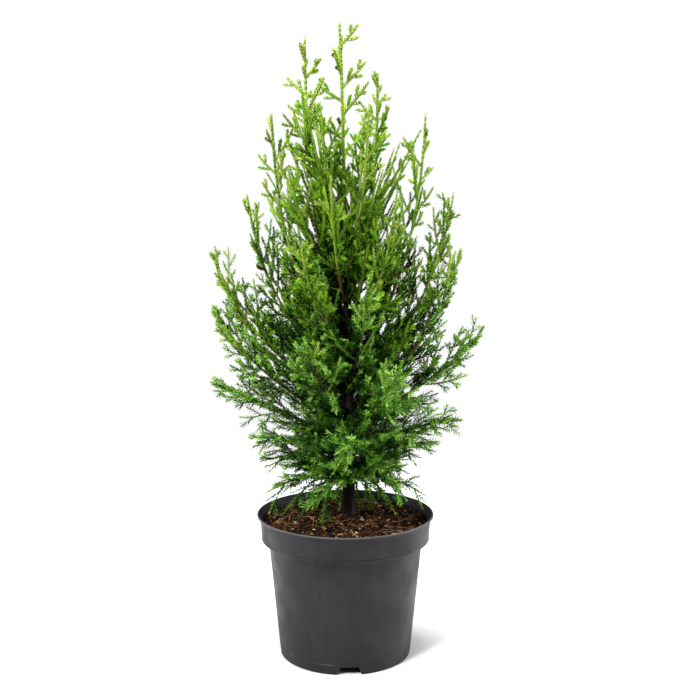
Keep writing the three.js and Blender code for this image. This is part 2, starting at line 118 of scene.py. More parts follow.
def makePiece(name, points, faceSets, finishes, tints=None, replaced=(), crease=None, smooth=True):
    corners = np.concatenate([faces.ravel() for faces in faceSets]).astype(np.int32)
    sizes = np.concatenate([np.full(len(faces), faces.shape[1]) for faces in faceSets])
    mesh = bpy.data.meshes.new(name)
    mesh.vertices.add(len(points))
    mesh.vertices.foreach_set("co", (np.asarray(points) * mm).astype(np.float32).ravel())
    mesh.loops.add(len(corners))
    mesh.loops.foreach_set("vertex_index", corners)
    mesh.polygons.add(len(sizes))
    mesh.polygons.foreach_set("loop_start", (np.cumsum(sizes) - sizes).astype(np.int32))
    mesh.polygons.foreach_set("use_smooth", np.full(len(sizes), smooth))
    for finish in finishes:
        mesh.materials.append(finish)
    if tints is not None:
        mesh.polygons.foreach_set("material_index", np.asarray(tints, dtype=np.int32))
    mesh.update(calc_edges=True)
    mesh.validate()
    if crease:
        mesh.set_sharp_from_angle(angle=math.radians(crease))
    piece = addObject(name, mesh)
    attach(piece, "root")
    if replaced:
        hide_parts(*replaced)
    return piece


def gridFaces(rows, columns):  # quads of a tube, closed round its columns
    row, column = np.meshgrid(np.arange(rows - 1), np.arange(columns), indexing="ij")
    right = (column + 1) % columns
    quads = np.stack([row * columns + column, row * columns + right,
                      (row + 1) * columns + right, (row + 1) * columns + column], axis=-1)
    return quads.reshape(-1, 4)


def tubeFaces(rows, columns):  # the same with both ends capped
    ring = np.arange(columns)[None, :]
    return [gridFaces(rows, columns), ring[:, ::-1], (rows - 1) * columns + ring]


def tubePoints(centres, sides, ups, radii, count):
    radii = np.broadcast_to(radii, (len(centres), count))[..., None]
    return (centres[:, None] + ringRound(sides, ups, count) * radii).reshape(-1, 3)


def copyFaces(faces, count, corners):  # the faces of one shape, for many shapes of so many corners
    first = np.arange(count)[:, None, None] * corners
    return (faces[None] + first).reshape(-1, faces.shape[1])


def joinParts(parts):  # points, faces and tints of many shapes as one mesh
    points, faces, tints = zip(*parts)
    first = np.cumsum([0] + [len(p) for p in points])
    joined = np.concatenate([quads + start for quads, start in zip(faces, first)])
    return np.concatenate(points), [joined], np.concatenate(tints)


# Shader nodes, and the node group that the finishes share

def feed(tree, node, inputs):  # an input takes a value or another node's output
    for key, value in inputs.items():
        if isinstance(value, bpy.types.NodeSocket):
            tree.links.new(value, node.inputs[key])
        else:
            node.inputs[key].default_value = value


def addNode(tree, kind, inputs, **settings):
    node = tree.nodes.new("ShaderNode" + kind)
    for key, value in settings.items():
        setattr(node, key, value)
    feed(tree, node, inputs)
    return node


def addRange(tree, value, source=(0, 1), result=(0, 1)):
    inputs = {"Value": value, "From Min": source[0], "From Max": source[1],
              "To Min": result[0], "To Max": result[1]}
    return addNode(tree, "MapRange", inputs).outputs["Result"]


def addBlend(tree, share, toneA, toneB, **settings):
    inputs = {"Factor": share, "A": toneA, "B": toneB}
    return addNode(tree, "Mix", inputs, data_type="RGBA", **settings).outputs["Result"]


def addPlace(tree, space, axis):
    place = addNode(tree, "TexCoord", {}).outputs[space]
    return addNode(tree, "SeparateXYZ", {"Vector": place}).outputs[axis]


mottleSockets = {
    "INPUT": {"Tone A": "Color", "Tone B": "Color", "Scale": "Float", "Detail": "Float", "Stretch": "Vector"},
    "OUTPUT": {"Color": "Color", "Mask": "Float"},
}
mottleEdges = (0.36, 0.64)


def makeMottle():  # two tones mixed by soft noise, with the mask put out too
    group = bpy.data.node_groups.new("mottle", "ShaderNodeTree")
    for way, sockets in mottleSockets.items():
        for title, kind in sockets.items():
            group.interface.new_socket(title, in_out=way, socket_type="NodeSocket" + kind)
    given = group.nodes.new("NodeGroupInput").outputs
    place = addNode(group, "TexCoord", {}).outputs["Object"]
    stretched = addNode(group, "VectorMath", {0: place, 1: given["Stretch"]}, operation="MULTIPLY").outputs[0]
    speckle = {"Vector": stretched, "Scale": given["Scale"], "Detail": given["Detail"]}
    mask = addRange(group, addNode(group, "TexNoise", speckle).outputs["Fac"], mottleEdges)
    tone = addBlend(group, mask, given["Tone A"], given["Tone B"])
    feed(group, group.nodes.new("NodeGroupOutput"), {"Color": tone, "Mask": mask})
    return group


mottle = makeMottle()


def startFinish(name, roughness, specular):
    finish = bpy.data.materials.new(name)
    finish.use_nodes = True
    tree = finish.node_tree
    shader = tree.nodes["Principled BSDF"]
    feed(tree, shader, {"Roughness": roughness, "Specular IOR Level": specular})
    return finish, tree, shader


def addMottle(tree, toneA, toneB, scale, detail=5.0, stretch=(1, 1, 1)):
    inputs = {"Tone A": toneA, "Tone B": toneB, "Scale": scale, "Detail": detail, "Stretch": stretch}
    return addNode(tree, "Group", inputs, node_tree=mottle).outputs


def addRelief(tree, shader, height, strength, depth):
    bump = addNode(tree, "Bump", {"Height": height, "Strength": strength, "Distance": depth})
    feed(tree, shader, {"Normal": bump.outputs["Normal"]})


def mottledFinish(name, tones, scale, roughness, specular):
    finish, tree, shader = startFinish(name, roughness, specular)
    feed(tree, shader, {"Base Color": addMottle(tree, *tones, scale)["Color"]})
    return finish


sheenPatches = Values(scale=600, detail=2, swing=0.1)


def dealtFinishes(name, colours, roughness, specular):  # plain colours dealt out by spray, their sheen uneven
    finishes = []
    sheenEnds = roughness - sheenPatches.swing, roughness + sheenPatches.swing
    for k, colour in enumerate(colours):
        finish, tree, shader = startFinish(f"{name}_{k}", roughness, specular)
        patches = addMottle(tree, black, white, sheenPatches.scale, sheenPatches.detail)["Mask"]
        sheen = addRange(tree, patches, result=sheenEnds)
        feed(tree, shader, {"Base Color": screenColour(colour), "Roughness": sheen})
        finishes.append(finish)
    return finishes


# Camera, light and floor

cameraSizes = Values(distance=1183, height=478, tiltDown=8.594, lens=65.4, shiftX=0.0038)

camera = addObject("photo_camera", bpy.data.cameras.new("photo_camera"))
camera.location = (0, -cameraSizes.distance * mm, cameraSizes.height * mm)
camera.rotation_euler = (math.radians(90 - cameraSizes.tiltDown), 0, 0)
camera.data.lens = cameraSizes.lens
camera.data.shift_x = cameraSizes.shiftX
bpy.context.scene.camera = camera

studio = Values(
    worldFront=0.03, worldBack=0.25, backdrop=1.0, floorSize=1.6, floorDrop=0.0002,
    floorTones=((0.8, 0.8, 0.8, 1), (0.78, 0.78, 0.78, 1)), floorPatches=3, floorSheen=(0.8, 0.2),
    lamps=[  # name, place, aim, size, power
        ("key_softbox", (-0.9, -1.2, 1.6), (0, 0, 0.35), 0.6, 63),
        ("fill_softbox", (1.5, -0.5, 0.9), (0, 0, 0.3), 1.2, 18),
        ("top_softbox", (0.1, -0.1, 1.9), (0, 0, 0.3), 0.5, 45),
        ("left_strip", (-1.2, 0.25, 0.3), (0, 0, 0.15), 0.9, 13),
        ("right_strip", (1.2, 0.25, 0.3), (0, 0, 0.15), 0.9, 13),
    ],
)


def makeStudio():
    world = bpy.data.worlds.new("studio_world")
    world.use_nodes = True
    bpy.context.scene.world = world
    tree = world.node_tree
    behind = addPlace(tree, "Generated", "Y")  # the room is darker on the camera's side
    room = addRange(tree, behind, (-1, 1), (studio.worldFront, studio.worldBack))
    seen = addNode(tree, "LightPath", {}).outputs["Is Camera Ray"]  # a white backdrop behind a softer light
    strength = addRange(tree, seen, result=(room, studio.backdrop))
    feed(tree, tree.nodes["Background"], {"Color": white, "Strength": strength})
    for name, place, aim, size, power in studio.lamps:
        lamp = bpy.data.lights.new(name, "AREA")
        lamp.size = size
        lamp.energy = power
        holder = addObject(name, lamp)
        holder.location = place
        holder.rotation_euler = (Vector(aim) - Vector(place)).to_track_quat("-Z", "Y").to_euler()
    half = studio.floorSize / 2
    corners = [(-half, -half, 0), (half, -half, 0), (half, half, 0), (-half, half, 0)]
    mesh = bpy.data.meshes.new("studio_floor")
    mesh.from_pydata(corners, [], [(0, 1, 2, 3)])
    mesh.materials.append(mottledFinish("pale_floor", studio.floorTones, studio.floorPatches,
                                        *studio.floorSheen))
    floor = addObject("studio_floor", mesh)
    floor.location.z = -studio.floorDrop
    bpy.context.scene.view_settings.view_transform = "Standard"


makeStudio()
print("studio ready")


# Pot: a turned shell whose foot ring is lifted at the drain notches

pot = Values(
    height=139, rim=85, collarTop=82, collarFoot=80.4, collarBase=114, neck=74.1, base=63,
    wall=1.8, lip=5, floor=8, floorThick=2, floorHole=0.5, sides=180, crease=32,
    grooveHeight=10, grooveDepth=0.4, grooveHalf=0.5, footRing=(3.2, 2.9, 1.4),
    rounds=(1.5, 1.4, 1.1, 1.5, 1.0),  # foot, step, collar, under the lip and its top
    notchCount=3, notchAzimuth=-86.5, notchTop=17, notchFoot=24, notchHeight=7,
    tones=((22, 21, 25), (27, 26, 30)), streak=(260, 260, 9), sheen=(0.5, 0.22),
    cloud=(0.8, 0.8, 0.82, 1), cloudScale=38, cloudShare=0.7, worn=(0.42, 0.6),
    # the pale lip tone and its edge heights paint a highlight along the lip's top edge
    scuff=(84, 84, 88), scuffEdge=(1.5, 0.3), scuffMost=0.8, grain=900, relief=(0.12, 0.0003),
    inside=((20, 20, 22), (32, 31, 33)), insideScale=90, insideSheen=(0.7, 0.2),
)


def bodyRadius(height):
    return mix(pot.base, pot.neck, height / pot.collarBase)


def collarRadius(height):
    run = pot.height - pot.lip - pot.collarBase
    return mix(pot.collarFoot, pot.collarTop, (height - pot.collarBase) / run)


def arc(centre, radius, start, end, steps):  # points of a round, in degrees
    turns = np.radians(np.linspace(start, end, steps))
    return [(centre[0] + radius * math.cos(t), centre[1] + radius * math.sin(t)) for t in turns]


def potProfile():  # radius, height and how much a notch lifts the point
    wall, base, top, collar, floor = pot.wall, pot.base, pot.height, pot.collarBase, pot.floor
    tread, step, edge, under, crest = pot.rounds
    bed, lipFoot = floor + pot.floorThick, top - pot.lip
    groove, half = pot.grooveHeight, pot.grooveHalf
    ringIn, ringMiddle, ringOut = (base - inset for inset in pot.footRing)
    below = [(pot.floorHole, floor), (bodyRadius(floor) - wall - 1.5, floor),
             (bodyRadius(floor - 1) - wall, floor - 0.4)]
    foot = [(ringIn, 0.3), (ringMiddle, 0), (ringOut, 0), *arc((ringOut, tread), tread, -75, 0, 5)]
    skin = [(bodyRadius(groove - half), groove - half), (bodyRadius(groove) - pot.grooveDepth, groove),
            (bodyRadius(groove + half), groove + half)]
    skin += [(bodyRadius(z), z) for z in np.linspace(groove + 4, collar - 2, 14)]
    skin += arc((bodyRadius(collar) + step, collar - step), step, 180, 90, 4)
    skin += arc((pot.collarFoot - 0.6, collar + edge), edge, -90, 40, 6)
    skin += [(collarRadius(z), z) for z in np.linspace(collar + 3, lipFoot - 1.6, 6)]
    skin += arc((pot.collarTop + under, lipFoot - 0.2), under, 180, 110, 4)
    skin += arc((pot.rim - crest, top - crest), crest, -35, 110, 9)
    skin += [(pot.rim - 2.0, top - 0.7), (pot.collarTop + 0.2, top - 2.2)]
    skin += [(collarRadius(z) - wall, z) for z in np.linspace(lipFoot, collar + 3, 5)]
    skin += [(bodyRadius(collar) - wall, collar + 1), (bodyRadius(bed) - wall, bed), (pot.floorHole, bed)]
    lifts = [0] * len(below) + [1] * len(foot) + [0] * len(skin)
    return np.column_stack([below + foot + skin, lifts])


def notchMiddles():
    return [pot.notchAzimuth + 360 * k / pot.notchCount for k in range(pot.notchCount)]


def notchLift(turns):  # trapezoid notches, as a height round the foot
    lift = np.zeros_like(turns)
    for middle in notchMiddles():
        away = np.abs((turns - math.radians(middle) + math.pi) % (2 * math.pi) - math.pi) * pot.base
        slope = (pot.notchFoot / 2 - away) / ((pot.notchFoot - pot.notchTop) / 2)
        lift = np.maximum(lift, pot.notchHeight * np.clip(slope, 0, 1))
    return lift


def potTurns():  # even steps plus the exact corners of the notches
    turns = list(np.linspace(0, 360, pot.sides, endpoint=False))
    for middle in notchMiddles():
        for width in (pot.notchTop, pot.notchFoot):
            half = math.degrees(width / 2 / pot.base)
            turns += [(middle - half) % 360, (middle + half) % 360]
    return np.radians(np.unique(np.round(turns, 4)))


def potFinish():
    finish, tree, shader = startFinish("charcoal_plastic", *pot.sheen)
    streak = addMottle(tree, *map(screenColour, pot.tones), 1, 4, pot.streak)
    cloud = addMottle(tree, white, pot.cloud, pot.cloudScale, 6)
    shade = addBlend(tree, pot.cloudShare, streak["Color"], cloud["Color"], blend_type="MULTIPLY")
    lipEdge = [(pot.height - drop) * mm for drop in pot.scuffEdge]  # a painted highlight: the lip's top edge is painted paler
    lipHighlit = addRange(tree, addPlace(tree, "Object", "Z"), lipEdge, (0, pot.scuffMost))
    tone = addBlend(tree, lipHighlit, shade, screenColour(pot.scuff))
    worn = addRange(tree, cloud["Mask"], result=pot.worn)
    feed(tree, shader, {"Base Color": tone, "Roughness": worn})
    addRelief(tree, shader, addMottle(tree, black, white, pot.grain, 2)["Mask"], *pot.relief)
    return finish


def makePot():
    profile, turns = potProfile(), potTurns()
    radius = np.repeat(profile[:, :1], len(turns), axis=1)
    height = profile[:, 1:2] + profile[:, 2:3] * notchLift(turns)
    points = np.stack([radius * np.cos(turns), radius * np.sin(turns), height], axis=-1).reshape(-1, 3)
    crest = int(profile[:, 1].argmax())
    inside = np.repeat(np.arange(len(profile) - 1) > crest, len(turns))
    inner = map(screenColour, pot.inside)
    finishes = [potFinish(), mottledFinish("pot_inside", inner, pot.insideScale, *pot.insideSheen)]
    makePiece("pot_shell", points, tubeFaces(len(profile), len(turns)), finishes,
              tints=[*inside, 0, 1], replaced=["pot"], crease=pot.crease)


makePot()
print("pot ready")


# Growth rule: trunk line, limbs and their room, as in the part's source

growth = Values(
    plantHeight=461, trunkTop=330, foot=(2.5, 4), tip=(-6.7, 0), lean=3, sway=1.3, waves=1.3,
    trunkRadii=((0, 9), (4, 7.5), (12, 6.4), (60, 5.4), (120, 4.4), (218, 2.9), (330, 1.8), (461, 1)),
    crownReach=((13, 74), (45, 80), (85, 96), (118, 124), (183, 127), (258, 120), (303, 99), (380, 71),
                (448, 39), (461, 8)),
    crownShift=((90, 0), (170, -9), (260, -9), (320, 3)),
    limbRise=((30, -4), (50, 13), (60, 17), (90, 31), (120, 42), (160, 52), (220, 60), (300, 66), (350, 70)),
    riseSpread=14, limbArch=((30, 0.28), (70, 0.16), (115, 0)), belly=(0.35, 0.75), sag=0.3,
    lowest=31, highest=304, trunkLimbs=30, crowding=1.7, turns=36, room=(3, 60), knotPitch=4,
    limbReach=((31, 1), (60, 0.95), (92, 0.88), (300, 0.82)), leastReach=4.0, reachStep=0.5,
    lowAzimuths={0: 184, 1: 354, 2: 250, 3: 308, 5: 178, 6: 348, 7: 192},
    boughShare=0.36, boughRadius=2.5, boughTaper=0.66, boughSides=6, stemRadius=(1.6, 0.85),
    stemSides=3, seat=0.3, startStep=0.001, startSteps=400, lengthSteps=201,
)
boughSizes = {  # azimuth, foot height, reach and tip height
    "left_leader": (172, 168, 37.5, 449), "inner_leader": (28, 178, 34, 416),
    "right_leader": (352, 146, 74, 379), "left_shoulder": (190, 150, 68.5, 379),
    "left_upper": (165, 132, 96.5, 305), "right_upper": (15, 128, 106.5, 307),
    "left_wing": (184, 112, 125, 254), "right_wing": (350, 108, 107, 255),
    "left_middle": (202, 88, 130, 205), "right_middle": (5, 85, 130.5, 176),
    "left_low": (170, 68, 130.5, 122), "right_low": (345, 61, 111, 98),
}


def trunkAxis(height):
    height = np.asarray(height, dtype=float)
    share = height / growth.plantHeight
    sway = growth.sway * np.sin(share * growth.waves * 2 * math.pi)
    (x0, y0), (x1, y1) = growth.foot, growth.tip
    lean = share ** growth.lean
    return np.stack([mix(x0, x1, lean) + sway, mix(y0, y1, lean) - sway * (1 - share), height], axis=-1)


def trunkRadius(height):
    return along(growth.trunkRadii, height)


def bezier(limb, t):
    t = np.asarray(t, dtype=float)[..., None]
    return limb.foot * (1 - t) ** 2 + limb.belly * 2 * t * (1 - t) + limb.tip * t * t


def limbRun(limb, t):  # half the curve's slope
    return (limb.belly - limb.foot) * (1 - t) + (limb.tip - limb.belly) * t


def limbFrame(limb, t):
    tangent = unit(limbRun(limb, np.asarray(t, dtype=float)[..., None]))
    side = np.broadcast_to(limb.side, tangent.shape)
    return bezier(limb, t), tangent, side, np.cross(side, tangent)


def limbRadius(limb, t):
    t, bough = np.asarray(t, dtype=float), limb.boughShare
    thin = mix(*growth.stemRadius, np.maximum(t - bough, 0) / (1 - bough))
    if not bough:
        return thin
    return np.where(t < bough, growth.boughRadius * mix(1, growth.boughTaper, t / bough), thin)


def makeLimb(name, azimuth, foot, reach, tipHeight, boughShare):
    turn = math.radians(azimuth)
    start = trunkAxis(foot)
    tip = np.array([reach * math.cos(turn), reach * math.sin(turn), tipHeight])
    rise = tipHeight - foot
    steep = max(rise / (abs(rise) + reach), 0)
    belly = mix(start, tip, ranged(growth.belly, steep))
    belly[2] = foot + growth.sag * rise + reach * along(growth.limbArch, foot)
    side = unit(np.array([start[1] - tip[1], tip[0] - start[0], 0.0]))
    limb = Values(name=name, foot=start, belly=belly, tip=tip, side=side, boughShare=boughShare)
    path = bezier(limb, np.linspace(0, 1, growth.lengthSteps))
    limb["length"] = float(np.linalg.norm(np.diff(path, axis=0), axis=1).sum())
    limb["start"] = limbStart(limb)
    limb["knots"] = np.linspace(limb.start, 1, math.ceil(limb.length / growth.knotPitch) + 1)
    limb["skeleton"] = bezier(limb, limb.knots)
    return limb


def limbStart(limb):  # where the limb's cut end stands clear of the trunk
    t = np.arange(1, growth.startSteps + 1) * growth.startStep
    point, _, side, up = limbFrame(limb, t)
    around = ringRound(up, side, growth.boughSides if limb.boughShare else growth.stemSides)
    corners = point[:, None] + around * limbRadius(limb, t)[:, None, None]
    probes = np.concatenate([corners, (corners + np.roll(corners, -1, axis=1)) / 2], axis=1)
    heights = probes[..., 2]
    away = np.linalg.norm(probes - trunkAxis(heights), axis=-1)
    clear = (away > trunkRadius(heights) + growth.seat).all(axis=1)
    return float(t[np.argmax(clear)] if clear.any() else t[-1])


def tipReach(foot, rise):
    reach, share = growth.leastReach, along(growth.limbReach, foot)
    while reach < share * along(growth.crownReach, foot + reach * math.tan(rise)):
        reach += growth.reachStep
    return reach


def limbAzimuths(i):  # some low ones go to the sides and front, the rest where there is room
    if i in growth.lowAzimuths:
        return [growth.lowAzimuths[i]]
    turns = np.arange(growth.turns)
    return (turns + chance(i + 1, turns + 1, 3)) * 360 / growth.turns


def growLimbs():
    limbs = [makeLimb(name, *sizes, growth.boughShare) for name, sizes in boughSizes.items()]
    last = growth.trunkLimbs - 1
    for i in range(growth.trunkLimbs):
        foot = mix(growth.lowest, growth.highest, (i / last) ** growth.crowding)
        spreadAngle = growth.riseSpread * float(swing(i + 1, 5, 4))
        rise = math.radians(along(growth.limbRise, foot) + spreadAngle)
        reach = tipReach(foot, rise)
        tipHeight = foot + reach * math.tan(rise)
        others = np.concatenate([limb.skeleton for limb in limbs])
        best, bestRoom = None, -1.0
        for azimuth in limbAzimuths(i):
            shift = along(growth.crownShift, tipHeight) * math.cos(math.radians(azimuth))
            limb = makeLimb(f"{i + 1:02d}", azimuth, foot, reach + shift, tipHeight, 0)
            gaps = np.linalg.norm(limb.skeleton[:, None] - others[None], axis=-1).min(axis=1)
            room = float((gaps / ranged(growth.room, limb.knots)).min())
            if room > bestRoom:
                best, bestRoom = limb, room
        limbs.append(best)
    return limbs


def makeTopLimb():  # goes on up the line of the trunk from its cut end
    foot, tip = trunkAxis(growth.trunkTop + growth.seat), trunkAxis(growth.plantHeight)
    return Values(name="top", foot=foot, belly=trunkAxis((foot[2] + tip[2]) / 2), tip=tip, start=0.0,
                  side=np.array([0.0, 1.0, 0.0]), boughShare=0, length=float(np.linalg.norm(tip - foot)))


limbs = [makeTopLimb(), *growLimbs()]
print("limbs grown", len(limbs))


# Wood: trunk and boughs with the relief of fibrous bark

wood = Values(
    trunkSides=36, trunkRings=300, trunkOver=2, ringCrowding=1.25, trunkSeed=3.7,
    boughSides=16, boughRings=48, boughOver=0.02, boughSink=0.35, boughSeed=11.3,
    ridge=0.09, fibre=(3.4, 0.035), crack=(6.5, 0.07), crackDepth=0.9, crackLevel=0.35, grain=(9, 0.4),
    grainDepth=0.35, flareLobes=5, flareTurn=0.8, flareReach=2.0, flareHeight=16,
    trunkBark=(420, (9, 6, 5), (40, 28, 20)), boughBark=(520, (22, 14, 9), (64, 42, 25)),
    young=(112, 116, 48), youngFrom=(250, 345), sheen=(0.85, 0.25), stretch=(1, 1, 0.18),
    detail=7, bump=(0.6, 0.0008),
)


def barkFinish(name, scale, *tones):  # turns green where the wood is young, up the plant
    finish, tree, shader = startFinish(name, *wood.sheen)
    fibre = addMottle(tree, *map(screenColour, tones), scale, wood.detail, wood.stretch)
    heights = [(soilLine + height) * mm for height in wood.youngFrom]
    young = addRange(tree, addPlace(tree, "Object", "Z"), heights)
    feed(tree, shader, {"Base Color": addBlend(tree, young, fibre["Color"], screenColour(wood.young))})
    addRelief(tree, shader, fibre["Mask"], *wood.bump)
    return finish


def barkRelief(turns, heights, seed):  # long fibres that part and close again, round the limb
    (wide, long), (crackWide, crackLong), (fine, short) = wood.fibre, wood.crack, wood.grain
    relief = np.zeros((len(heights), len(turns)))
    for i, height in enumerate(heights):
        for j, turn in enumerate(turns):
            x, y = math.cos(turn), math.sin(turn)
            fibre = noiseAt(x * wide + seed, y * wide, height * long)
            crack = abs(noiseAt(x * crackWide, y * crackWide + seed, height * crackLong))
            grain = noiseAt(x * fine, y * fine, height * short)
            relief[i, j] = fibre + wood.crackDepth * (wood.crackLevel - crack) + wood.grainDepth * grain
    return relief


def makeTrunk():
    rings, count = wood.trunkRings, wood.trunkSides
    heights = (growth.trunkTop + wood.trunkOver) * np.linspace(0, 1, rings) ** wood.ringCrowding
    turns = evenTurns(count)
    relief = barkRelief(turns, heights, wood.trunkSeed)
    lobes = 0.5 + 0.5 * np.cos(turns * wood.flareLobes + wood.flareTurn)
    flare = np.clip(1 - heights / wood.flareHeight, 0, 1) ** 2
    radii = trunkRadius(heights)[:, None] * (1 + wood.ridge * relief)
    radii = radii + wood.flareReach * flare[:, None] * lobes
    level = np.tile([1.0, 0, 0], (rings, 1)), np.tile([0, 1.0, 0], (rings, 1))
    points = tubePoints(trunkAxis(heights), *level, radii, count) + plantFoot
    finish = barkFinish("trunk_bark", *wood.trunkBark)
    makePiece("trunk_bark", points, tubeFaces(rings, count), [finish], replaced=["trunk"])


def makeBoughs():
    finish = barkFinish("bough_bark", *wood.boughBark)
    rings, count = wood.boughRings, wood.boughSides
    for number, limb in enumerate(limb for limb in limbs if limb.boughShare):
        t = np.linspace(limb.start * wood.boughSink, limb.boughShare + wood.boughOver, rings)
        point, _, side, up = limbFrame(limb, t)
        relief = barkRelief(evenTurns(count), t * limb.length, wood.boughSeed + number)
        radii = np.maximum(limbRadius(limb, t), growth.stemRadius[0])[:, None] * (1 + wood.ridge * relief)
        points = tubePoints(point, side, up, radii, count) + plantFoot
        makePiece("bough_bark_" + limb.name, points, tubeFaces(rings, count), [finish],
                  replaced=["bough_" + limb.name])


makeTrunk()
makeBoughs()
print("trunk and boughs ready")


# Sprays: shoots spiral round each limb, and more spring from the trunk

spray = Values(
    spacing=((20, 12.5), (60, 8.8), (110, 7.2), (160, 6.8), (250, 6.6), (300, 8.6), (350, 11.0), (400, 12.5),
             (461, 13.0)),
    first=5, last=0.97, turn=137.5, boughLeaf=0.45, bare=0.12,
    lean=(50, 32), leanSwing=10, spread=((260, 0), (330, 13)), gather=((280, 0.2), (380, 0.04)),
    upturn=((10, -0.5), (45, -0.32), (80, -0.06), (120, 0.1), (200, 0.14), (290, 0.12), (380, 0.0)),
    base=30, perLimb=0.2, tipShare=0.3, variety=0.2, outer=0.35, shortest=9,
    tipEase=(0.4, 3.4), footEase=(0.6, 2.6),
    leaderShare=((30, 0.85), (110, 0.5), (300, 0.5), (365, 1)), leaderMost=96, leaderGirth=1.05,
    leaderReach=1.12, leaderBare=((260, 0.12), (340, 0.5), (400, 0.68)),
    inner=270, innerHeights=(38, 275), innerCrowding=1.5, innerShare=(0.5, 0.9), innerReach=0.4,
    innerRise=((20, 8), (100, 36), (300, 60)), innerBend=((20, -0.1), (100, 0.22), (300, 0.28)),
    innerSwing=24, innerRoll=1.4, trunkSink=0.8,
    droops=(  # azimuth and reach
        (-126, 11), (-150, 24), (-48, 11), (-28, 19), (-30, 46), (-135, 62), (-158, 62), (24, 36), (150, 40),
        (96, 30), (66, 17), (122, 18), (178, 17), (4, 18)),
    droopHeight=40, droopEnd=7, droopRise=0.2,
)
crown = Values(
    reach=(0.84, 1.02), slack=3, twigSlack=((240, 3), (300, 9)), leafFloor=3,
    leastReach=((200, 40), (280, 66), (315, 79), (345, 78), (380, 68), (410, 60), (432, 42), (450, 36)),
    trims=9, trim=0.86, probes=(0.2, 0.5, 0.8, 1.0),
    openings=(  # lowest, highest, left, right and hindmost
        (2, 22, -3, 3, -4), (96, 118, -5, 7, -4), (176, 226, -6, 4, -4), (268, 282, 8, 13, 90),
        (287, 308, 38, 44, 90), (294, 309, 1, 6, 90), (300, 315, -16, -7, 90), (342, 356, -30, -23, 90),
        (264, 277, -46, -41, 90), (270, 285, -32, -28, 90), (265, 276, 32, 37, 90), (208, 224, 14, 19, 90),
        (203, 214, -14, -10, 90), (173, 184, 32, 37, 90), (210, 221, 42, 47, 90), (165, 176, 17, 22, 90),
        (107, 122, 8, 12, 90), (50, 61, 6, 9, 90), (53, 61, -21, -17, 90), (85, 95, 29, 34, 90),
        (322, 332, -19, -15, 90), (290, 299, -15, -11, 90), (344, 354, 10, 14, 90), (313, 325, 13, 17, 90),
        (311, 322, -38, -34, 90), (297, 308, 23, 27, 90), (316, 327, 29, 33, 90), (306, 318, 53, 57, 90)),
)
shootKeys = ("base", "ahead", "facing", "length", "limb", "share", "girth", "bend", "bare")


def gatherShoots(columns):  # a single value stands for all of them
    columns = [np.array(column) for column in columns]
    count = len(columns[0])
    return Values((key, v if v.ndim else np.full(count, v)) for key, v in zip(shootKeys, columns))


def twigPoint(twigs, share, owner=slice(None)):  # on a curve from the foot of the twig
    s = np.asarray(share)[..., None]
    run = twigs.length[owner, None]
    return twigs.base[owner] + (twigs.ahead[owner] * s + twigs.bend[owner] * s * s) * run


def twigTangent(twigs, share, owner=slice(None)):
    return unit(twigs.ahead[owner] + 2 * twigs.bend[owner] * np.asarray(share)[..., None])


def twigAxes(twigs, share, owner=slice(None)):
    tangent = twigTangent(twigs, share, owner)
    across = unit(np.cross(twigs.facing[owner], tangent))
    return twigPoint(twigs, share, owner), tangent, across, np.cross(tangent, across)


def pick(twigs, keep):
    return Values((key, value[keep]) for key, value in twigs.items())


def keepOpen(twigs):  # the crown parts before the trunk and lets the sky through, as the camera sees it
    shut = np.zeros(len(twigs.length), dtype=bool)
    distance, eye = cameraSizes.distance, cameraSizes.height - soilLine
    for share in crown.probes:
        point = twigPoint(twigs, share)
        near = distance / (distance + point[:, 1])
        across, height = point[:, 0] * near, eye + (point[:, 2] - eye) * near
        for low, high, left, right, back in crown.openings:
            within = (height > low) & (height < high) & (point[:, 1] < back)
            shut |= within & (across > left) & (across < right)
    return pick(twigs, ~shut)


def keepInCrown(twigs, shortest, slack):  # shortens what would pass its limb's reach, then drops the stubs
    limbTips = np.array([np.hypot(*limb.tip[:2]) for limb in limbs])
    ownReach = limbTips[twigs.limb] * mix(*crown.reach, twigs.share ** 2)
    for _ in range(crown.trims):
        tip = twigPoint(twigs, 1.0)
        reach = np.maximum(ownReach, along(crown.leastReach, tip[:, 2])) + slack
        outside = (np.hypot(tip[:, 0], tip[:, 1]) > reach) | (tip[:, 2] > growth.plantHeight)
        outside |= tip[:, 2] < crown.leafFloor
        twigs["length"] = np.where(outside, twigs.length * crown.trim, twigs.length)
    return keepOpen(pick(twigs, (twigs.length >= shortest) & ~outside))


def growShoots():
    rows, perHeight = [], ("spread", "gather", "upturn", "spacing")
    for index, limb in enumerate(limbs):
        first = max(limb.boughShare * spray.boughLeaf, limb.start)
        longest = spray.base + spray.perLimb * limb.length
        t, i = first + spray.first / limb.length, 0
        while t < spray.last:
            share = (t - first) / (1 - first)
            point, tangent, side, up = limbFrame(limb, t)
            spreading, gather, upturn, spacing = (float(along(spray[key], point[2])) for key in perHeight)
            variety = 1 + spray.variety * (2 * float(chance(index + 1, i + 1, 11)) - 1)
            length = longest * mix(1, spray.tipShare, share) * variety
            length *= min(1, mix(*spray.tipEase, 1 - share), mix(*spray.footEase, share))
            lean = mix(*spray.lean, share) + spreading
            lean = math.radians(lean + spray.leanSwing * float(swing(index + 1, i + 1, 12)))
            turn = math.radians(spray.turn * i + 360 * float(chance(index + 1, 1, 2)))
            outward = side * math.cos(turn) + up * math.sin(turn)
            away = float(outward @ unit(point * [1, 1, 0]))
            length *= 1 - spray.outer * max(away, 0)
            ahead = tangent * math.cos(lean) + outward * math.sin(lean)
            bend = gather * (tangent - ahead) + upturn * skyward
            facing = unit(np.cross(ahead, tangent))
            rows.append((point, unit(ahead), facing, length, index, share, 1.0, bend, spray.bare))
            t += spacing / limb.length
            i += 1
    return keepInCrown(gatherShoots(zip(*rows)), spray.shortest, crown.slack)


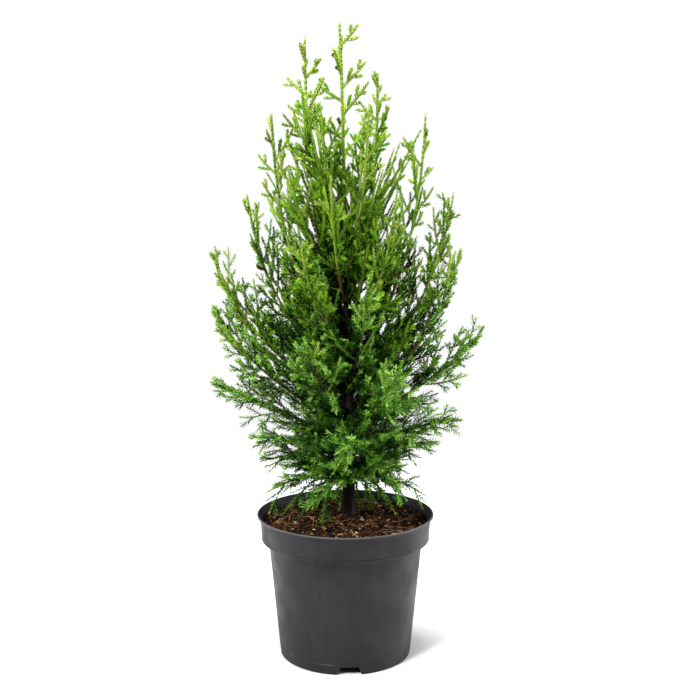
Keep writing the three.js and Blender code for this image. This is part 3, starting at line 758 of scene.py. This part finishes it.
def growLeaders():  # the leafy end of each limb, along the limb's own line
    rows = []
    for index, limb in enumerate(limbs):
        run = min(float(along(spray.leaderShare, limb.foot[2])) * limb.length, spray.leaderMost)
        t = 1 - run / limb.length
        point, _, _, up = limbFrame(limb, t)
        straight = 2 * (1 - t) * limbRun(limb, t)
        curved = (1 - t) ** 2 * (limb.foot - 2 * limb.belly + limb.tip)
        bare = float(along(spray.leaderBare, limb.tip[2]))
        rows.append((point, straight / run, up, run, index, spray.leaderReach, spray.leaderGirth,
                     curved / run, bare))
    return gatherShoots(zip(*rows))


def fromTrunk(height, turn):  # foot, heading and side of shoots that spring from the trunk
    outward = np.stack([np.cos(turn), np.sin(turn), 0 * turn], axis=-1)
    foot = trunkAxis(height) + outward * trunkRadius(height)[:, None] * spray.trunkSink
    return foot, outward, np.cross(skyward, outward)


def growInner():  # short shoots straight from the trunk fill the middle of the crown
    i = np.arange(spray.inner)
    place = ((i + chance(i + 1, 1, 14)) / spray.inner) ** spray.innerCrowding
    height = mix(*spray.innerHeights, place)
    foot, outward, side = fromTrunk(height, np.radians(spray.turn * i))
    rise = along(spray.innerRise, height) + spray.innerSwing * swing(i + 1, 2, 14)
    rise = np.radians(rise)[:, None]
    ahead = outward * np.cos(rise) + skyward * np.sin(rise)
    length = along(growth.crownReach, height) * mix(*spray.innerShare, chance(i + 1, 3, 14))
    nearest = np.abs(height[:, None] - [limb.foot[2] for limb in limbs]).argmin(axis=1)
    roll = (spray.innerRoll * swing(i + 1, 4, 14))[:, None]
    facing = np.cross(ahead, side) * np.cos(roll) + side * np.sin(roll)
    bend = along(spray.innerBend, height)[:, None] * skyward
    grown = gatherShoots((foot, ahead, facing, length, nearest, spray.innerReach, 1.0, bend, spray.bare))
    return keepInCrown(grown, spray.shortest, crown.slack)


def growDroops():  # single shoots that hang over the compost round the foot
    azimuth, reach = np.array(spray.droops, dtype=float).T
    height = np.full(len(reach), spray.droopHeight)
    foot, outward, side = fromTrunk(height, np.radians(azimuth))
    fall = height - spray.droopEnd
    length = np.hypot(reach, fall)
    ahead = outward * (reach / length)[:, None] + spray.droopRise * skyward
    bend = -(fall / length + spray.droopRise)[:, None] * skyward
    firstTrunkLimb = 1 + len(boughSizes)
    return gatherShoots((foot, ahead, np.cross(ahead, side), length, firstTrunkLimb, 1.0, 1.0, bend, 1.0))


# Habit of each shoot: brighter up the crown, needles low and inside; brighter towards the crown's outside and
# darker within it is painted light and shade

habit = Values(
    at=0.8, outerMost=1.05, topFrom=(330, 70), footFrom=(40, 25), footMost=0.95,
    needleHeight=(105, 185), needleOuter=(1.2, 0.2), needleSwing=60, coolHeight=225, coolSwing=130,
    glow=((20, 0.15), (120, 0.18), (250, 0.33), (420, 0.58)), outerGlow=0.5, outerCurve=2.2,
    needleGlow=0.14, glowSwing=0.28, brightSwing=0.1,
    brightest=((60, 0.6), (200, 0.7), (300, 0.76), (380, 0.82), (420, 0.9), (445, 1)),
)


def addHabit(grown):
    seed = grown["seed"] = np.arange(len(grown.length)) + 1
    tip = twigPoint(grown, habit.at)
    height = tip[:, 2]
    outer = np.hypot(tip[:, 0], tip[:, 1]) / along(growth.crownReach, height)
    outer = np.clip(outer, 0, habit.outerMost)
    outer = np.maximum(outer, np.clip((height - habit.topFrom[0]) / habit.topFrom[1], 0, 1))
    foot = (habit.footFrom[0] - height) / habit.footFrom[1]
    outer = np.maximum(outer, np.clip(foot, 0, habit.footMost))
    low, high = habit.needleHeight
    outside = np.clip(outer * habit.needleOuter[0] - habit.needleOuter[1], 0, 1)
    grown["juvenile"] = height < mix(high, low, outside) + habit.needleSwing * swing(seed, 3, 51)
    # the outer term paints light on shoots at the crown's surface, its top and the low droops, and paints
    # shade on those deep inside
    glow = along(habit.glow, height) + habit.outerGlow * outer ** habit.outerCurve
    glow = glow + habit.glowSwing * swing(seed, 5, 52)
    brightest = along(habit.brightest, height) + habit.brightSwing * swing(seed, 6, 54)
    grown["glow"] = np.minimum(glow + habit.needleGlow * grown.juvenile, brightest)
    grown["cool"] = height < habit.coolHeight + habit.coolSwing * swing(seed, 7, 55)
    return grown


families = [growShoots(), growLeaders(), growInner(), growDroops()]
shoots = addHabit(Values((key, np.concatenate([family[key] for family in families])) for key in shootKeys))


# Twigs: alternate along a shoot in its plane, and again along the longer twigs

twig = Values(
    spacing=((100, 6.0), (250, 6.6), (350, 7.2), (400, 7.8)), needleSpacing=9.0,
    share=((200, 0.34), (300, 0.27), (390, 0.2)), base=6.0, needleBase=9.5,
    first=Values(lean=42, end=0.1, girth=1.05, shortest=4.5),
    forkFrom=((150, 10.5), (220, 12.5), (300, 16.0), (380, 19.0)), needleForkFrom=21,
    side=Values(lean=38, end=0.12, girth=0.98, shortest=3, spacing=6.0, share=0.34, base=4.2),
    bare=0.25, leanSwing=16, tilt=0.9, curl=0.2, parentMost=60, variety=(0.8, 0.4),
    tipGlow=0.22, evenGlow=0.45, seedStep=64,
)


def branchOff(parent, kind, order, *sizes):  # sizes are the spacing, and the length per parent and at least
    spacing, lengthShare, lengthBase = (np.broadcast_to(size, len(parent.length)) for size in sizes)
    counts = np.floor(parent.length * (1 - parent.bare - kind.end) / spacing).astype(int)
    owner, step = spread(np.maximum(counts, 0))
    share = parent.bare[owner] + (step + 0.5) * spacing[owner] / parent.length[owner]
    seed, facing = parent.seed[owner], parent.facing[owner]
    tangent = twigTangent(parent, share, owner)
    facing = unit(facing - tangent * (facing * tangent).sum(1, keepdims=True))
    across = np.cross(facing, tangent) * np.where((step + seed) % 2, 1, -1)[:, None]
    angle = np.radians(kind.lean + twig.leanSwing * swing(seed, step + 1, 20 + order))[:, None]
    tilt = (twig.tilt * swing(seed, step + 1, 30 + order))[:, None]
    outward = across * np.cos(tilt) + facing * np.sin(tilt)
    ahead = tangent * np.cos(angle) + outward * np.sin(angle)
    length = lengthShare[owner] * np.minimum(parent.length[owner], twig.parentMost) * (1 - share)
    length = (length + lengthBase[owner]) * ranged(twig.variety, chance(seed, step + 1, 40 + order))
    grown = Values((key, parent[key][owner]) for key in ("limb", "share", "juvenile", "glow", "cool"))
    grown["glow"] = grown.glow + twig.tipGlow * (share - twig.evenGlow)
    grown.update(base=twigPoint(parent, share, owner), ahead=ahead, facing=facing, length=length,
                 bend=(tangent - ahead) * twig.curl, seed=seed * twig.seedStep + step + 1,
                 girth=np.full(len(owner), kind.girth), bare=np.full(len(owner), twig.bare))
    return keepInCrown(grown, kind.shortest, along(crown.twigSlack, grown.base[:, 2]))


def growTwigs():
    height, juvenile = shoots.base[:, 2], shoots.juvenile
    spacing = np.where(juvenile, twig.needleSpacing, along(twig.spacing, height))
    base = np.where(juvenile, twig.needleBase, twig.base)
    grown = branchOff(shoots, twig.first, 1, spacing, along(twig.share, height), base)
    forkFrom = along(twig.forkFrom, grown.base[:, 2])
    forkFrom = np.where(grown.juvenile, twig.needleForkFrom, forkFrom)
    forked, side = pick(grown, grown.length > forkFrom), twig.side
    return grown, branchOff(forked, side, 2, side.spacing, side.share, side.base)


twigs, sideTwigs = growTwigs()
print("shoots", len(shoots.length), "twigs", len(twigs.length), "side twigs", len(sideTwigs.length))


# Leaves: keeled scales in crossed pairs, and slim folded needles in whorls

leaf = Values(
    scalePitch=1.9, scaleStart=0.3, scaleStand=1.5, scaleVariety=(0.9, 0.2), flatten=0.85,
    scaleLength=((300, 3.8), (400, 4.8)), scaleWidth=((140, 0.92), (300, 1.0), (420, 1.4)),
    scaleMiddle=0.5, scaleEdge=0.6, scaleFoot=0.15, stout=((200, 1.0), (330, 1.02), (430, 1.1)),
    scaleFlare=((120, 2.2), (200, 1.7), (300, 1.25), (400, 1.05)), closing=((0.8, 1), (1, 0.3)),
    club=((0, 0.84), (0.55, 1.06), (1, 0.76)),
    needlePitch=2.6, needleStart=0.5, needleRing=3, needleTurn=0.29, needleStray=0.1,
    needleLean=(54, 20), needleSwing=16, needleLength=6.6, needleWidth=0.78, needleFold=0.35,
    needleMiddle=0.4, needleVariety=(0.75, 0.4), needleTip=0.75, needleSeed=4,
    mostFaces=180000, sheen=(0.55, 0.06),
    orderGlow=0.04, twigSwing=0.62, evenShare=0.55, uneven=((240, 0.36), (340, 0.12)),
    # the darkest scale and needle tones are painted shade, worn by shoots deep in the crown
    scaleTones=[(9, 26, 3), (20, 48, 6), (40, 82, 10), (68, 118, 12), (98, 150, 18), (122, 168, 28),
                (134, 167, 48), (152, 172, 84)],
    needleTones=[(6, 20, 3), (16, 42, 7), (36, 78, 15), (64, 114, 25), (90, 142, 40), (114, 164, 58),
                 (140, 182, 86)],
)
scaleTones = dealtFinishes("scale_leaf", leaf.scaleTones, *leaf.sheen)
needleTones = dealtFinishes("needle", leaf.needleTones, *leaf.sheen)


def toneOf(twigSet, order, owner, share):  # tips are brighter than the foot of a twig
    # the per-twig swing is painted light and shade: some twigs are painted lit and others shaded, at random
    glow = twigSet.glow + leaf.orderGlow * order + leaf.twigSwing * swing(twigSet.seed, 7, 53)
    uneven = along(leaf.uneven, twigPoint(twigSet, share, owner)[:, 2])
    draw = chance(owner + 1, np.arange(len(owner)) + 1, 56)
    level = glow[owner] + uneven * (share - leaf.evenShare + draw - 0.5)
    warm = np.clip((level * len(scaleTones)).astype(int), 0, len(scaleTones) - 1)
    cool = np.clip((level * len(needleTones)).astype(int), 0, len(needleTones) - 1)
    return np.where(twigSet.cool[owner] | twigSet.juvenile[owner], len(scaleTones) + cool, warm)


def leafSpots(twigSet, pitch, start, ring):  # a ring of leaves at each step along the twigs
    counts = np.maximum(np.round(twigSet.length / pitch).astype(int), 2)
    owner, step = spread(counts)
    share = (step + start) / counts[owner]
    return (np.repeat(v, ring) for v in (owner, step, share))


scaleFaces = np.array([(0, 1, 3), (0, 3, 2), (1, 4, 3), (3, 4, 2)])
needleFaces = np.array([(0, 1, 3), (0, 3, 2)])


def scaleLeaves(twigSet):
    owner, step, share = leafSpots(twigSet, leaf.scalePitch * twigSet.girth, leaf.scaleStart, 2)
    flip = np.tile([1.0, -1.0], len(owner) // 2)[:, None]
    point, tangent, across, facing = twigAxes(twigSet, share, owner)
    height = point[:, 2]
    lateral = (step % 2 == 0)[:, None]
    outward = np.where(lateral, across, facing * leaf.flatten) * flip
    wrap = np.where(lateral, facing, across)
    size = along(leaf.club, share) * ranged(leaf.scaleVariety, chance(twigSet.seed[owner], step + 1, 61))
    size = (size * twigSet.girth[owner] * along(leaf.stout, height))[:, None]
    flare = (along(leaf.scaleFlare, height) * along(leaf.closing, share))[:, None]
    stand = leaf.scaleStand * size
    long, half = (along(leaf[key], height)[:, None] * size for key in ("scaleLength", "scaleWidth"))
    keel = point + tangent * long * leaf.scaleMiddle
    middle = keel + outward * stand * leaf.scaleEdge
    corners = [point + outward * stand * leaf.scaleFoot, middle + wrap * half, middle - wrap * half,
               keel + outward * stand, point + tangent * long + outward * stand * flare]
    return np.stack(corners, axis=1), owner, share


def needles(twigSet):
    ring = leaf.needleRing
    owner, step, share = leafSpots(twigSet, leaf.needlePitch, leaf.needleStart, ring)
    slot = np.tile(np.arange(ring), len(owner) // ring)
    point, tangent, across, facing = twigAxes(twigSet, share, owner)
    seed, number = twigSet.seed[owner], step * leaf.needleSeed + slot + 1
    turn = slot / ring + step * leaf.needleTurn + leaf.needleStray * chance(seed, number, 62)
    turn = (2 * math.pi * turn)[:, None]
    outward = across * np.cos(turn) + facing * np.sin(turn)
    lean = mix(*leaf.needleLean, share ** 3) + leaf.needleSwing * swing(seed, number, 63)
    lean = np.radians(lean)[:, None]
    ahead = tangent * np.cos(lean) + outward * np.sin(lean)
    fold = unit(np.cross(ahead, np.cross(tangent, outward)))
    wide = np.cross(ahead, fold)
    size = ranged(leaf.needleVariety, chance(seed, number, 64)) * mix(1, leaf.needleTip, share ** 2)
    long, half = leaf.needleLength * size[:, None], leaf.needleWidth * size[:, None]
    middle = point + ahead * long * leaf.needleMiddle + fold * leaf.needleFold
    corners = [point, middle + wide * half, middle - wide * half, point + ahead * long]
    return np.stack(corners, axis=1), owner, share


def leafKind(juvenile, shape, faces):  # all leaves of one kind: corners, tones and limbs
    corners, tint, limb = [], [], []
    for order, twigSet in enumerate([shoots, twigs, sideTwigs]):
        wanted = pick(twigSet, twigSet.juvenile == juvenile)
        points, owner, share = shape(wanted)
        corners.append(points)
        tint.append(toneOf(wanted, order, owner, share))
        limb.append(wanted.limb[owner])
    return np.concatenate(corners), np.concatenate(tint), np.concatenate(limb), faces


def tierLimbs(perLimb):  # groups limbs by height into pieces of no more than the face limit
    tiers, load = [[]], 0
    for k in sorted(range(len(limbs)), key=lambda k: -limbs[k].tip[2]):
        if load + perLimb[k] > leaf.mostFaces:
            tiers.append([])
            load = 0
        tiers[-1].append(k)
        load += perLimb[k]
    return tiers


def makeLeafPieces(name, kind, replacedBy):
    corners, tint, limb, faces = kind
    perLimb = np.bincount(limb, minlength=len(limbs)) * len(faces)
    for number, tier in enumerate(tierLimbs(perLimb)):
        here = np.isin(limb, tier)
        if not here.any():
            continue
        points = corners[here].reshape(-1, 3) + plantFoot
        tierFaces = copyFaces(faces, int(here.sum()), corners.shape[1])
        masses = ["foliage_" + limbs[k].name for k in tier if replacedBy[k] == name]
        piece = makePiece(f"{name}_{number + 1}", points, [tierFaces], scaleTones + needleTones,
                          tints=np.repeat(tint[here], len(faces)), replaced=masses, smooth=False)
        print(piece.name, len(tierFaces), "faces, stands for", len(masses), "masses")


scaleKind = leafKind(False, scaleLeaves, scaleFaces)
needleKind = leafKind(True, needles, needleFaces)
scaleCount, needleCount = (np.bincount(kind[2], minlength=len(limbs)) for kind in (scaleKind, needleKind))
standsFor = np.where(scaleCount >= needleCount, "scale_leaves", "needles")
makeLeafPieces("scale_leaves", scaleKind, standsFor)
makeLeafPieces("needles", needleKind, standsFor)


# Stems of the limbs, and the twigs that show between the needles

stem = Values(
    limbSides=7, limbPitch=4.0, leastRings=6, sink=0.5, end=0.985, taper=0.62,
    twigSides=3, twigEnd=0.98, stout=((280, 1.0), (360, 2.1), (430, 2.7)),
    tubes=[((0.75, 0.4), 6), ((0.5, 0.3), 3), ((0.4, 0.25), 2)],  # radii and rings of each order
    # the last tone is the brown of old wood, darkened as painted shade for stems inside the crown
    tones=[(134, 154, 60), (70, 92, 30), (108, 74, 38), (44, 31, 18)], sheen=(0.65, 0.3),
    green=((40, 25), (150, 55), (260, 90), (330, 125)), greenDrop=60, youngFrom=240, ripening=0.35,
    brightFrom=0.36,
)
stemTones = dealtFinishes("stem", stem.tones, *stem.sheen)
paleGreen, darkGreen, brown, shadedOldBrown = range(len(stemTones))


def makeLimbStems():
    parts, sides = [], stem.limbSides
    for limb in limbs:
        begin = limb.boughShare if limb.boughShare else limb.start * stem.sink
        rings = max(int(limb.length * (1 - begin) / stem.limbPitch), stem.leastRings)
        t = np.linspace(begin, stem.end, rings)
        point, _, side, up = limbFrame(limb, t)
        radii = limbRadius(limb, t) * mix(1, stem.taper, t)
        points = tubePoints(point, side, up, radii[:, None], sides)
        green = float(along(stem.green, limb.tip[2] - stem.greenDrop))
        young, ripe = (paleGreen, brown) if limb.tip[2] > stem.youngFrom else (darkGreen, shadedOldBrown)
        left = (1 - t[:-1]) * limb.length
        ripening = left < green + stem.ripening * limb.length
        tone = np.where(left < green, young, np.where(ripening, ripe, shadedOldBrown))
        parts.append((points, gridFaces(rings, sides), np.repeat(tone, sides)))
    points, faces, tints = joinParts(parts)
    makePiece("limb_stems", points + plantFoot, faces, stemTones, tints=tints)


def twigTubes(twigSet, radii, rings):
    count, sides = len(twigSet.length), stem.twigSides
    layers = []
    for share in np.linspace(0, stem.twigEnd, rings):
        point, _, across, facing = twigAxes(twigSet, share)
        stout = along(stem.stout, point[:, 2])[:, None, None]
        layers.append(point[:, None] + ringRound(across, facing, sides) * stout * mix(*radii, share))
    points = np.stack(layers, axis=1).reshape(-1, 3)
    return points, copyFaces(gridFaces(rings, sides), count, rings * sides)


def makeTwigs():
    parts = []
    for order, twigSet in enumerate([shoots, twigs, sideTwigs]):
        radii, rings = stem.tubes[order]
        # first-order shoots left dim, partly by the painted depth shade, get the darker brown stem, which is
        # partly painted shade
        bright = twigSet.glow > stem.brightFrom
        dull = np.where(bright | (order > 0), darkGreen, shadedOldBrown)
        tone = np.where(bright & ~twigSet.juvenile, paleGreen, dull)
        parts.append((*twigTubes(twigSet, radii, rings), np.repeat(tone, (rings - 1) * stem.twigSides)))
    points, faces, tints = joinParts(parts)
    piece = makePiece("twigs", points + plantFoot, faces, stemTones, tints=tints)
    print(piece.name, len(piece.data.polygons), "faces")


makeLimbStems()
makeTwigs()


# Soil: a rough bed with bark chips and fibres lying on it

soil = Values(
    edge=128.6, top=137, seat=13, skirt=8, wallGap=0.3, rings=70, sides=150, middle=1.0,
    tilt=(-0.012, 0.035), rough=1.5,
    lumps=((0.09, 2.0, 1.3), (0.32, 5.0, 0.9), (0.9, 9.0, 0.5)),  # fineness, layer and height
    bed=((6, 3, 2), (40, 25, 15)), bedScale=420, bedDetail=8, bedSheen=(0.95, 0.15),
    bedBump=(0.8, 0.0012),
    tones=[(6, 3, 2), (24, 14, 8), (54, 34, 20), (90, 60, 35), (140, 100, 62), (198, 166, 126)],
    toneShares=(0.34, 0.6, 0.82, 0.945, 0.985), sheen=(0.9, 0.1),
    chips=4200, chipMargin=2.5, chipSize=((0.7, 2.2), (0.4, 0.8), (0.25, 0.5)),  # least and extra
    chipBent=(0.65, 0.7), chipTip=0.9, chipRoll=1.1, chipLift=0.35, chipCrease=25,
    fibres=330, fibreMargin=8, fibreClear=4, fibreBend=3.2, fibreLength=(8, 32), fibreSteps=8,
    fibreSides=4, fibreLift=(0.7, 1.6), fibreRadius=(0.14, 0.26), fibreTaper=0.5,
    fibreTones=(2, 3.4),
)


def soilEdge(margin):
    return collarRadius(soil.edge) - pot.wall - margin


def soilHeight(x, y):
    edge = soilEdge(soil.wallGap)
    share = min(max((edge - math.hypot(x, y)) / (edge - soil.seat), 0), 1)
    ground = mix(soil.edge, soil.top, math.sin(share * math.pi / 2))
    ground = ground + soil.tilt[0] * x + soil.tilt[1] * y
    lumps = [high * noiseAt(x * fine, y * fine, layer) for fine, layer, high in soil.lumps]
    return ground + soil.rough * (lumps[0] + lumps[1]) + lumps[2]


def makeSoilBed():
    finish, tree, shader = startFinish("peat_bed", *soil.bedSheen)
    crumb = addMottle(tree, *map(screenColour, soil.bed), soil.bedScale, soil.bedDetail)
    feed(tree, shader, {"Base Color": crumb["Color"]})
    addRelief(tree, shader, crumb["Mask"], *soil.bedBump)
    edge, sides = soilEdge(soil.wallGap), soil.sides
    around = [(math.cos(t), math.sin(t)) for t in evenTurns(sides)]
    points = [(edge * c, edge * s, soil.edge - soil.skirt) for c, s in around]
    for r in np.linspace(edge, soil.middle, soil.rings):
        points += [(r * c, r * s, soilHeight(r * c, r * s)) for c, s in around]
    makePiece("soil_bed", points, tubeFaces(soil.rings + 1, sides), [finish], replaced=["soil"])


def soilSpot(k, seed, margin):  # an even scatter over the bed
    radius = soilEdge(margin) * math.sqrt(float(chance(k + 1, 1, seed)))
    turn = 2 * math.pi * float(chance(k + 1, 2, seed))
    return radius * math.cos(turn), radius * math.sin(turn)


chipBox = np.array([(x, y, z) for z in (-1, 1) for x, y in ((-1, -1), (1, -1), (1, 1), (-1, 1))])
chipFaces = np.array([(0, 3, 2, 1), (4, 5, 6, 7), (0, 1, 5, 4), (1, 2, 6, 5), (2, 3, 7, 6), (3, 0, 4, 7)])


def makeChips(tones):
    parts, corner = [], np.arange(len(chipBox)) + 1
    for k in range(soil.chips):
        x, y = soilSpot(k, 81, soil.chipMargin)
        draw = [float(chance(k + 1, n, 82)) for n in range(1, 8)]
        size = list(map(ranged, soil.chipSize, (draw[0] ** 3, draw[1], draw[2])))
        bent = np.stack([chance(k + 1, corner, 83 + axis) for axis in range(3)], axis=-1)
        spin = 2 * math.pi * draw[3]
        tip, roll = soil.chipTip * (draw[4] - 0.5), soil.chipRoll * (draw[5] - 0.5)
        cs, sn, ct, st, cr, sr = (f(a) for a in (spin, tip, roll) for f in (math.cos, math.sin))
        turnZ = np.array([(cs, -sn, 0), (sn, cs, 0), (0, 0, 1)])
        turnY = np.array([(ct, 0, st), (0, 1, 0), (-st, 0, ct)])
        turnX = np.array([(1, 0, 0), (0, cr, -sr), (0, sr, cr)])
        shape = chipBox * size * ranged(soil.chipBent, bent) @ (turnZ @ turnY @ turnX).T
        tone = np.digitize(draw[6], soil.toneShares)
        parts.append((shape + [x, y, soilHeight(x, y) + soil.chipLift], chipFaces, [tone] * len(chipFaces)))
    points, faces, tints = joinParts(parts)
    makePiece("soil_chips", points, faces, tones, tints=tints, crease=soil.chipCrease)


def makeFibres(tones):
    parts, steps, sides = [], soil.fibreSteps, soil.fibreSides
    for k in range(soil.fibres):
        x, y = soilSpot(k, 91, soil.fibreMargin)
        draw = [float(chance(k + 1, n, 92)) for n in range(1, 7)]
        heading, bend = 2 * math.pi * draw[0], soil.fibreBend * (draw[1] - 0.5)
        length = ranged(soil.fibreLength, draw[2] ** 2)
        line = []
        for s in np.linspace(0, 1, steps + 1):
            lift = soil.fibreLift[1] * draw[3] * math.sin(math.pi * s)
            line.append((x, y, soilHeight(x, y) + soil.fibreLift[0] + lift))
            turn = heading + bend * s
            x, y = x + length / steps * math.cos(turn), y + length / steps * math.sin(turn)
        line = np.array(line)
        if np.hypot(line[:, 0], line[:, 1]).max() > pot.collarFoot - soil.fibreClear:
            continue
        run = unit(np.gradient(line, axis=0))
        side = unit(np.cross(run, skyward))
        radii = ranged(soil.fibreRadius, draw[4] ** 2) * np.linspace(1, soil.fibreTaper, steps + 1)[:, None]
        points = tubePoints(line, side, np.cross(side, run), radii, sides)
        tone = soil.fibreTones[0] + int(draw[5] * soil.fibreTones[1])
        parts.append((points, gridFaces(steps + 1, sides), [tone] * steps * sides))
    points, faces, tints = joinParts(parts)
    makePiece("soil_fibres", points, faces, tones, tints=tints)


soilTones = dealtFinishes("soil_chip", soil.tones, *soil.sheen)
makeSoilBed()
makeChips(soilTones)
makeFibres(soilTones)
print("soil ready")
